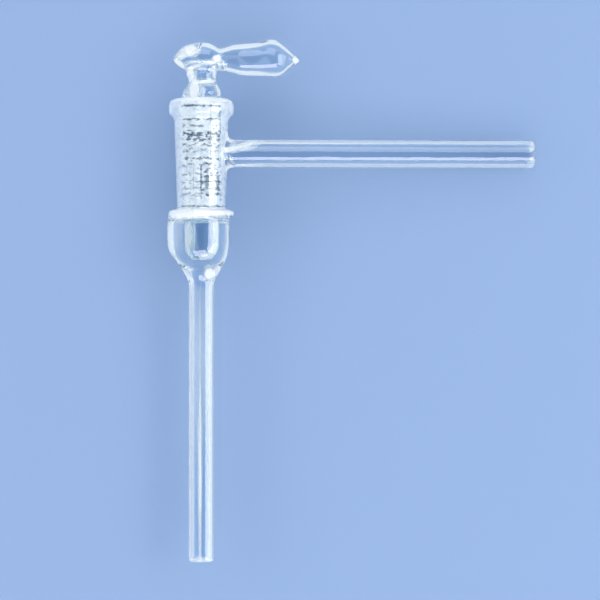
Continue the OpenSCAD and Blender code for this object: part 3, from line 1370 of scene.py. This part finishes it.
@dataclass(frozen=True)
class Glass:
    """Clear borosilicate glass, with a painted white highlight over listed places where thick
    walls, seams and ends catch light. Lamps reach what is behind it.
    """

    name: str
    crossing: Vector
    waviness: Triple = (160, 160, 160)
    relief: float = 0.35
    painted_highlights: tuple[Cloud, ...] = ()
    cloud_grain: Triple = (420, 420, 420)
    tint: Colour = tinted(241, 249, 254)
    white: Colour = tinted(244, 250, 253)
    index: float = 1.474
    lamp_share: float = 0.88

    def surface(self, n: Nodes) -> Value:
        """Build the glass surface.

        Args:
            n: The material's nodes.

        Returns:
            The shader.
        """
        waves = n.grain(n.place(), self.waviness, 2.0, 0.5)
        film = n.grain(n.place(), self.waviness, 3.0, 0.6, finer=2.3)
        clear = n.add(
            "ShaderNodeBsdfPrincipled",
            inputs={
                "Base Color": self.tint,
                "Roughness": (film - 0.45).clamped() * 0.08,
                "IOR": self.index,
                "Transmission Weight": 1.0,
                "Normal": n.bump(waves, self.relief, 0.0002),
            },
        )
        if not self.painted_highlights:
            return clear
        # painted highlight: a white shader mixed in over the listed places, standing in for light
        # caught in thick glass and for reflections
        painted_highlight_shader = n.add(
            "ShaderNodeBsdfPrincipled",
            inputs={"Base Color": self.white, "Roughness": 0.25, "IOR": self.index},
        )
        centred = n.from_point(self.crossing)
        edge = n.grain(centred, self.cloud_grain, 3.0, 0.6)
        return n.blend(self.summed(n, centred, self.painted_highlights, (edge - 0.5) * 1.5), clear, painted_highlight_shader)

    def summed(self, n: Nodes, centred: Value, places: Sequence[Cloud], ragged: Value) -> Value:
        """Sum a list of soft-edged places.

        Args:
            n: The material's nodes.
            centred: The place from the crossing of the axes, in metres.
            places: The places.
            ragged: Noise around 0 that makes their edges ragged.

        Returns:
            The shares' sum, from 0 to 1.
        """
        total: Value | float = 0.0
        for cloud in places:
            scaled = n.add(
                "ShaderNodeMapping",
                {"vector_type": "TEXTURE"},
                {
                    "Vector": centred,
                    "Location": Vector((cloud.across, cloud.along, cloud.lift)) * MM,
                    "Rotation": (0.0, 0.0, math.radians(cloud.turned)),
                    "Scale": Vector((cloud.half_across, cloud.half_along, cloud.half_lift)) * MM,
                },
            )
            away = n.add("ShaderNodeVectorMath", {"operation": "LENGTH"}, {0: scaled}, output=1)
            inside = ((1.0 - away) * (1 / cloud.soft) + ragged).clamped()
            total = inside * cloud.share + total
        return total.clamped()

    def material(self) -> bpy.types.Material:
        """Make the material.

        Returns:
            The new material.
        """
        made, n = new_material(self.name)
        let_through = (n.ray("Is Shadow Ray") + n.ray("Is Diffuse Ray")).clamped() * self.lamp_share
        clear = n.add("ShaderNodeBsdfTransparent", inputs={"Color": tinted(250, 253, 255)})
        n.finish("ShaderNodeOutputMaterial", n.blend(let_through, self.surface(n), clear))
        return made


@dataclass(frozen=True)
class Ring:
    """A dark line round the joint where the two ground faces touch. Millimetres."""

    height: float
    half_width: float
    darkness: float
    raggedness: float = 0.5


RINGS = (
    (18.5, 0.4, 0.95), (13.5, 0.5, 0.95, 0.7), (10.6, 0.5, 0.7, 1.2), (7.5, 1.0, 1.0, 1.0),
    (5.3, 0.7, 0.85, 1.3), (2.9, 0.6, 0.7, 1.3), (0.6, 0.5, 0.55, 1.4), (-2.3, 0.55, 0.8, 1.2),
    (-4.8, 0.8, 0.6, 1.5), (-8.7, 0.6, 0.6, 1.5), (-11.6, 0.6, 0.55, 1.5), (-14.2, 0.6, 0.5, 1.5),
    (-16.8, 0.9, 0.5, 1.7), (-21.5, 0.5, 0.95),
)  # fmt: skip
STREAKS = (
    (0.2, -11.2, 0.5, 7.4, 0.7, 9.0), (2.4, -11.0, 0.9, 7.6, 0.75, 9.0),
    (6.0, -12.0, 0.8, 7.2, 0.75, 8.0), (3.7, 3.0, 0.3, 16.0, 0.6, 8.0),
    (7.1, 10.4, 0.25, 3.2, 0.8, 6.0), (6.9, 16.0, 0.6, 1.6, 0.7, 6.0),
    (-2.6, -10.0, 0.2, 7.5, 0.35, 9.0), (-5.0, -4.0, 0.2, 11.0, 0.4, 8.0),
)  # fmt: skip


@dataclass(frozen=True)
class GroundGlass(Glass):
    """Glass ground white with grit. Rings and streaks where the two faces touch look dark."""

    relief: float = 0.4
    lamp_share: float = 0.85
    pale: Colour = tinted(248, 252, 255)
    grey: Colour = tinted(214, 228, 242)
    wetted: Colour = tinted(66, 96, 128)
    wetted_from: float = -0.0069
    wetted_until: float = 0.0074
    fade: float = 0.0006
    rings: tuple[Ring, ...] = tuple(Ring(*row) for row in RINGS)
    streaks: tuple[Cloud, ...] = tuple(
        Cloud(*row, lift=lift, half_lift=7.0) for *row, lift in STREAKS
    )

    def darkness(self, n: Nodes, broken: Value) -> Value:
        """Give how dark the rings and streaks are.

        Args:
            n: The material's nodes.
            broken: Noise that breaks them up.

        Returns:
            The darkness, from 0 to 2.
        """
        centred = n.from_point(self.crossing)
        across, height = n.part(centred, "X"), n.part(centred, "Y")
        ringed: Value | float = 0.0
        for ring in self.rings:
            away = abs(height - ring.height * MM) * (1 / (ring.half_width * MM))
            near = 1.4 - away + (broken - 0.55) * 8.0 * ring.raggedness
            ringed = near.clamped() * ring.darkness + ringed
        left, right = self.wetted_from, self.wetted_until
        seen = across.risen(left, left + self.fade) * across.risen(right, right - self.fade)
        drawn = self.summed(n, centred, self.streaks, (broken - 0.5) * 4.8)
        return (ringed.clamped() + drawn) * seen

    def surface(self, n: Nodes) -> Value:
        """Build the frosted surface.

        Args:
            n: The material's nodes.

        Returns:
            The shader.
        """
        centred = n.from_point(self.crossing)
        grit = n.grain(centred, (1500, 1500, 1500), 3.0, 0.7)
        mottle = n.grain(centred, (420, 620, 420), 3.0, 0.6)
        broken = n.grain(centred, (560, 1000, 560), 2.0, 0.6)
        speck = ((grit - 0.55) * 6.0).clamped() * ((mottle - 0.48) * 6.0).clamped()
        dark = (self.darkness(n, broken) + speck * 0.3).clamped()
        frost = n.tinge(((mottle - 0.42) * 4.0).clamped(), self.pale, self.grey)
        return n.add(
            "ShaderNodeBsdfPrincipled",
            inputs={
                "Base Color": n.tinge(dark, frost, self.wetted),
                "Roughness": (0.6 - dark * 0.25).clamped(),
                "IOR": self.index,
                "Transmission Weight": 0.12,
                "Normal": n.bump(grit, self.relief, 0.00005),
            },
        )


# -------------------- Studio --------------------


@dataclass(frozen=True)
class Softbox:
    """A large soft lamp, or a card that only shows in reflections. Metres and watts."""

    name: str
    place: Triple
    size: tuple[float, float]
    power: float
    colour: Triple = (1.0, 1.0, 1.0)
    card: bool = False

    def build(self, target: Vector) -> None:
        """Hang the lamp so that it looks at a target.

        Args:
            target: The point that it looks at.
        """
        lamp = bpy.data.lights.new(self.name, "AREA")
        lamp.shape = "RECTANGLE"
        lamp.size, lamp.size_y = self.size
        lamp.energy = self.power
        lamp.color = self.colour
        obj = placed(self.name, lamp)
        obj.visible_diffuse = not self.card
        obj.visible_glossy = self.card
        obj.visible_transmission = False
        obj.location = self.place
        obj.rotation_euler = (target - Vector(self.place)).to_track_quat("-Z", "Y").to_euler()


@dataclass
class Studio:
    """The floor, the lamps, the surrounding light and the camera. Metres."""

    crossing: Vector
    floor_half: float = 1.6
    floor_colour: Colour = tinted(148, 175, 218)
    glow_colour: Colour = tinted(238, 247, 255)
    dimming: float = 0.45
    camera_height: float = 1.2
    view_width: float = 0.24
    sensor: float = 36.0
    aim: Triple = (0.03948, -0.05864, 0)
    boxes: tuple[Softbox, ...] = (
        Softbox("right_softbox", (0.72, 0.0, 0.6), (0.9, 0.3), 4.5),
        Softbox("near_softbox", (0.0, -0.75, 0.6), (0.9, 0.25), 3.5),
        Softbox("left_softbox", (-0.85, 0.1, 0.45), (0.8, 0.3), 3.5),
        Softbox("far_softbox", (0.0, 0.85, 0.5), (0.9, 0.25), 2.5),
        Softbox("right_card", (0.713, 0.0, 0.642), (1.0, 0.41), 11.0, card=True),
        Softbox("low_card", (0.89, 0.0, 0.35), (1.0, 0.34), 4.8, card=True),
        Softbox("left_card", (-0.87, 0.0, 0.4), (1.0, 0.25), 1.0, (0.85, 0.93, 1.0), card=True),
        Softbox("top_card", (-0.24, 0.0, 0.95), (1.0, 0.24), 1.6, (0.9, 0.97, 1.0), card=True),
        Softbox("near_card", (0.05, -0.63, 0.7), (0.8, 0.45), 11.3, (1.0, 0.94, 1.0), card=True),
        Softbox("far_card", (0.1, 0.69, 0.86), (0.7, 0.8), 8.0, (0.9, 0.95, 1.0), card=True),
    )
    room_light: tuple[tuple[float, Colour], ...] = (
        (0.0, (0.95, 0.96, 0.97, 1)),
        (0.25, (0.85, 0.87, 0.88, 1)),
        (0.6, (0.28, 0.3, 0.32, 1)),
        (1.0, (0.12, 0.14, 0.17, 1)),
    )

    @staticmethod
    def turned_in_glass(n: Nodes, on_floor: bool) -> Value:
        """Tell what glass walls pick up from the bright room from what is seen through them.

        Args:
            n: The nodes of the floor or of the room.
            on_floor: Whether they are the floor's.

        Returns:
            1 for light that was thrown back inside the glass or bent far aside, else 0.
        """
        thrown_back = n.ray("Glossy Depth") > 0.5
        direct = n.ray("Diffuse Depth") < 0.5
        slant = n.add("ShaderNodeLayerWeight", inputs={"Blend": 0.5}, output="Facing")
        aside = slant.risen(0.25, 0.5) if on_floor else 0.0
        return (thrown_back + aside).clamped() * n.ray("Is Transmission Ray") * direct

    def brightness_around(self, n: Nodes) -> Value:
        """Give how bright the surroundings are that glass walls pick up, by place on the floor.

        Args:
            n: The floor's nodes.

        Returns:
            1, and less beside the side tube and to the left of the lower tube.
        """
        centred = n.from_point(self.crossing)
        across, up_barrel = n.part(centred, "X"), n.part(centred, "Y")
        below_bulb = up_barrel.risen(-0.048, -0.058)
        to_right = across.risen(-0.001, 0.002)
        by_side_tube = across.risen(0.016, 0.026) * up_barrel.risen(0.022, 0.014)
        dimmed = by_side_tube * (1.0 - below_bulb) + below_bulb * (1.0 - to_right)
        return 1.0 - dimmed * self.dimming

    def build_floor(self) -> bpy.types.Object:
        """Lay the plain pale surface.

        Returns:
            The floor.
        """
        bm = bmesh.new()
        bmesh.ops.create_grid(bm, x_segments=1, y_segments=1, size=self.floor_half)
        bmesh.ops.translate(bm, vec=(0, 0, -0.00002), verts=bm.verts[:])
        floor = placed("floor", as_mesh(bm, "floor"))
        made, n = new_material("floor_paper")
        paper = n.add(
            "ShaderNodeBsdfPrincipled",
            inputs={"Base Color": self.floor_colour, "Roughness": 0.9, "Specular IOR Level": 0.1},
        )
        glow = n.add("ShaderNodeEmission", inputs={"Color": self.glow_colour, "Strength": 1.0})
        turned = self.turned_in_glass(n, on_floor=True) * self.brightness_around(n)
        n.finish("ShaderNodeOutputMaterial", n.blend(turned, paper, glow))
        floor.data.materials.append(made)
        return floor

    def build_world(self) -> None:
        """Light the room evenly from its walls, brightest low down, less from overhead."""
        world = bpy.data.worlds.new("room")
        bpy.context.scene.world = world
        world.use_nodes = True
        n = Nodes(world.node_tree)
        height = n.part(n.add("ShaderNodeTexCoord", output="Generated"), "Z").clamped()
        ramp = n.add("ShaderNodeValToRGB", {"stops": self.room_light}, {0: height})
        light, seen, glow = (
            n.add("ShaderNodeBackground", inputs={"Color": colour, "Strength": 1.0})
            for colour in (ramp, self.floor_colour, self.glow_colour)
        )
        turned = self.turned_in_glass(n, on_floor=False)
        through = n.ray("Is Transmission Ray") * (1.0 - turned)
        behind = (n.ray("Is Camera Ray") + through).clamped()
        picked_up = turned * (0.9 - height * 1.3).clamped()
        room = n.blend(picked_up, n.blend(behind, light, seen), glow)
        n.finish("ShaderNodeOutputWorld", room)

    def build_camera(self) -> None:
        """Hang the camera straight above the part."""
        data = bpy.data.cameras.new("camera")
        data.sensor_width = self.sensor
        data.lens = self.sensor * self.camera_height / self.view_width
        camera = placed("camera", data)
        camera.location = self.crossing + Vector(self.aim)
        camera.location.z += self.camera_height
        bpy.context.scene.camera = camera

    def build(self) -> None:
        """Set up everything around the part."""
        self.build_floor()
        self.build_world()
        for box in self.boxes:
            box.build(self.crossing)
        self.build_camera()
        scene = bpy.context.scene
        scene.view_settings.view_transform = "Standard"
        scene.cycles.max_bounces = 32
        scene.cycles.glossy_bounces = 16
        scene.cycles.transmission_bounces = 28
        scene.cycles.transparent_max_bounces = 32
        scene.cycles.caustics_refractive = False
        scene.cycles.caustics_reflective = False


def main() -> None:
    """Build the studio and the two pieces of glass."""
    logging.basicConfig(level=logging.INFO, format="%(name)s: %(message)s")
    layout = Layout.from_record(frame["record"])
    Studio(layout.crossing).build()
    joint = GroundJoint()
    for node, maker in (("barrel", Barrel(joint)), ("plug", Plug(joint))):
        piece = maker.build(layout)
        maker.dress(piece, node, layout.crossing)
        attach(piece, node)
        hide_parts(node)
        log.info("%s: %d faces", piece.name, len(piece.data.polygons))


if __name__ == "__main__":
    main()
